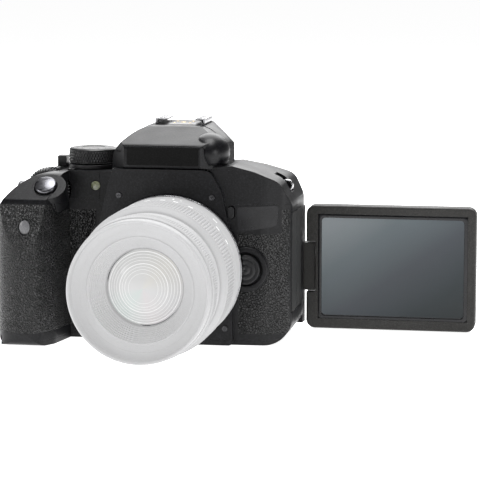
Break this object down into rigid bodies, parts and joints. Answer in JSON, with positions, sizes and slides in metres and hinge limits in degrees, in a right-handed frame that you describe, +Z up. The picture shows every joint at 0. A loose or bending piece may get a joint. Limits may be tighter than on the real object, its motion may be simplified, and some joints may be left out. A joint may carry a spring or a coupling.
{
  "type": "dslr camera",
  "caption": "Single-lens reflex camera with hand grip, pop-up flash, zoom lens and a swing-out tilting screen.",
  "frame": {"origin": "centre of the tripod socket's mouth in the base, under the lens axis", "axes": "+Z up, -Y the way the lens looks, +X towards the screen's hinge"},
  "size_m": [0.2071, 0.123, 0.0978],
  "materials": {
    "body_plastic": "fine speckled satin moulding, near black",
    "grip_rubber": "leather-grained rubber skin, black",
    "screen_plastic": "fine matt moulding, warm black",
    "control_plastic": "smooth satin key tops",
    "dial_plastic": "diamond knurl, black",
    "shutter_metal": "satin gunmetal plating",
    "bright_steel": "satin stainless",
    "screw_steel": "black zinc",
    "lens_plastic": "pale grey, satin",
    "lens_rubber": "pale grey ribbed rubber",
    "lens_glass": "coated optical glass",
    "screen_glass": "smooth cover glass over a dark display",
    "display": "switched-off display",
    "clear_window": "milky translucent plastic",
    "sensor_window": "smoked grey plastic",
    "chassis_plastic": "unpainted black, inside",
    "mirror": "front-silvered glass",
    "circuit": "solder-masked board",
    "battery": "dark grey shell"
  },
  "bodies": {
    "body": {"front_cover": "body_plastic", "top_cover": "body_plastic", "rear_cover": "body_plastic", "bottom_cover": "body_plastic", "grip_rubber": "grip_rubber", "side_rubber": "grip_rubber", "thumb_rubber": "grip_rubber", "screen_swing_pin": "screw_steel", "badge_plate": "control_plastic", "tripod_socket": "bright_steel", "timer_lamp": "clear_window", "remote_sensor": "sensor_window", "strap_lugs": "bright_steel", "mount_ring": "bright_steel", "mirror_box": "chassis_plastic", "shutter_unit": "chassis_plastic", "image_sensor": "circuit", "circuit_board": "circuit", "focusing_screen": "lens_glass", "pentamirror": "mirror", "eyepiece_lens": "lens_glass", "eyecup": "grip_rubber", "hot_shoe": "bright_steel", "battery_pack": "battery", "memory_card": "battery", "lens_barrel": "lens_plastic", "rear_lens_group": "lens_glass", "case_screws": "screw_steel"},
    "screen_arm": {"screen_arm": "screen_plastic"},
    "screen": {"screen_front_case": "screen_plastic", "screen_back_case": "screen_plastic", "screen_glass": "screen_glass", "screen_display": "display"},
    "flash": {"flash_lid": "body_plastic", "flash_window": "clear_window"},
    "zoom_tube": {"zoom_tube": "lens_plastic", "front_element": "lens_glass", "lens_front_ring": "lens_plastic"},
    "main_mirror": {"main_mirror": "mirror"},
    "mode_dial": {"mode_dial": "dial_plastic"},
    "power_switch": {"power_switch": "control_plastic"},
    "main_dial": {"main_dial": "dial_plastic"},
    "shutter_button": {"shutter_button": "shutter_metal"},
    "iso_button": {"iso_button": "control_plastic"},
    "live_view_button": {"live_view_button": "control_plastic"},
    "quick_button": {"quick_button": "control_plastic"},
    "set_button": {"set_button": "control_plastic"},
    "play_button": {"play_button": "control_plastic"},
    "erase_button": {"erase_button": "control_plastic"},
    "menu_button": {"menu_button": "control_plastic"},
    "info_button": {"info_button": "control_plastic"},
    "lens_release_button": {"lens_release_button": "control_plastic"},
    "flash_button": {"flash_button": "control_plastic"},
    "cross_pad": {"cross_pad": "control_plastic"},
    "battery_door": {"battery_door": "body_plastic"},
    "card_door": {"card_door": "body_plastic"},
    "terminal_cover_front": {"terminal_cover_front": "grip_rubber"},
    "terminal_cover_rear": {"terminal_cover_rear": "grip_rubber"},
    "zoom_ring": {"zoom_ring": "lens_rubber"},
    "focus_ring": {"focus_ring": "lens_rubber"}
  },
  "joints": [
    {"name": "screen_swing", "type": "hinge", "parent": "body", "child": "screen_arm", "pos_m": [0.05, 0.0315, 0.0288], "axis": [0, 0, 1], "range_deg": [0, 180]},
    {"name": "screen_tilt", "type": "hinge", "parent": "screen_arm", "child": "screen", "pos_m": [0.058, 0.0315, 0.0288], "axis": [1, 0, 0], "range_deg": [-270, 0]},
    {"name": "mirror_flip", "type": "hinge", "parent": "body", "child": "main_mirror", "pos_m": [0, 0.013, 0.0456], "axis": [-1, 0, 0], "range_deg": [0, 45], "stiffness_Nm_per_rad": 0.004},
    {"name": "mode_dial_turn", "type": "hinge", "parent": "body", "child": "mode_dial", "pos_m": [-0.0395, 0.005, 0.0752], "axis": [0, 0, 1], "continuous": true},
    {"name": "power_switch_turn", "type": "hinge", "parent": "body", "child": "power_switch", "pos_m": [-0.0395, 0.005, 0.0752], "axis": [0, 0, -1], "range_deg": [0, 40]},
    {"name": "main_dial_turn", "type": "hinge", "parent": "body", "child": "main_dial", "pos_m": [-0.0566, -0.008, 0.0664], "axis": [0, 1, 0], "continuous": true},
    {"name": "shutter_press", "type": "slide", "parent": "body", "child": "shutter_button", "axis": [0, 0.6428, -0.766], "range_m": [0, 0.0012], "stiffness_N_per_m": 800},
    {"name": "iso_press", "type": "slide", "parent": "body", "child": "iso_button", "axis": [0, 0, -1], "range_m": [0, 0.0006], "stiffness_N_per_m": 800},
    {"name": "live_view_press", "type": "slide", "parent": "body", "child": "live_view_button", "axis": [0, -1, 0], "range_m": [0, 0.0006], "stiffness_N_per_m": 800},
    {"name": "quick_press", "type": "slide", "parent": "body", "child": "quick_button", "axis": [0, -1, 0], "range_m": [0, 0.0006], "stiffness_N_per_m": 800},
    {"name": "set_press", "type": "slide", "parent": "body", "child": "set_button", "axis": [0, -1, 0], "range_m": [0, 0.0006], "stiffness_N_per_m": 800},
    {"name": "play_press", "type": "slide", "parent": "body", "child": "play_button", "axis": [0, -1, 0], "range_m": [0, 0.0006], "stiffness_N_per_m": 800},
    {"name": "erase_press", "type": "slide", "parent": "body", "child": "erase_button", "axis": [0, -1, 0], "range_m": [0, 0.0006], "stiffness_N_per_m": 800},
    {"name": "menu_press", "type": "slide", "parent": "body", "child": "menu_button", "axis": [0, -1, 0], "range_m": [0, 0.0006], "stiffness_N_per_m": 800},
    {"name": "info_press", "type": "slide", "parent": "body", "child": "info_button", "axis": [0, -1, 0], "range_m": [0, 0.0006], "stiffness_N_per_m": 800},
    {"name": "lens_release_press", "type": "slide", "parent": "body", "child": "lens_release_button", "axis": [0, 1, 0], "range_m": [0, 0.0014], "stiffness_N_per_m": 800},
    {"name": "flash_press", "type": "slide", "parent": "body", "child": "flash_button", "axis": [0, 1, 0], "range_m": [0, 0.0006], "stiffness_N_per_m": 800},
    {"name": "cross_pad_rock", "type": "hinge", "parent": "body", "child": "cross_pad", "pos_m": [-0.051, 0.0338, 0.038], "axis": [1, 0, 0], "range_deg": [-2.5, 2.5], "stiffness_Nm_per_rad": 0.05},
    {"name": "flash_lift", "type": "hinge", "parent": "body", "child": "flash", "pos_m": [0, 0.0016, 0.0937], "axis": [-1, 0, 0], "range_deg": [0, 70]},
    {"name": "battery_door_open", "type": "hinge", "parent": "body", "child": "battery_door", "pos_m": [-0.0535, -0.0135, 0], "axis": [0, -1, 0], "range_deg": [0, 90]},
    {"name": "card_door_open", "type": "hinge", "parent": "body", "child": "card_door", "pos_m": [-0.0757, 0.006, 0.036], "axis": [0, 0, 1], "range_deg": [0, 95]},
    {"name": "terminal_front_open", "type": "hinge", "parent": "body", "child": "terminal_cover_front", "pos_m": [0.0534, -0.009, 0.036], "axis": [0, 0, -1], "range_deg": [0, 110]},
    {"name": "terminal_rear_open", "type": "hinge", "parent": "body", "child": "terminal_cover_rear", "pos_m": [0.0534, 0.004, 0.036], "axis": [0, 0, -1], "range_deg": [0, 110]},
    {"name": "zoom_turn", "type": "hinge", "parent": "body", "child": "zoom_ring", "pos_m": [0, -0.022, 0.0334], "axis": [0, -1, 0], "range_deg": [0, 60]},
    {"name": "zoom_extend", "type": "slide", "parent": "body", "child": "zoom_tube", "axis": [0, -1, 0], "range_m": [0, 0.0151]},
    {"name": "focus_turn", "type": "hinge", "parent": "zoom_tube", "child": "focus_ring", "pos_m": [0, -0.022, 0.0334], "axis": [0, -1, 0], "continuous": true}
  ],
  "couplings": [
    {"joint": "zoom_extend", "follows": "zoom_turn", "m_per_rad": 0.0143}
  ]
}
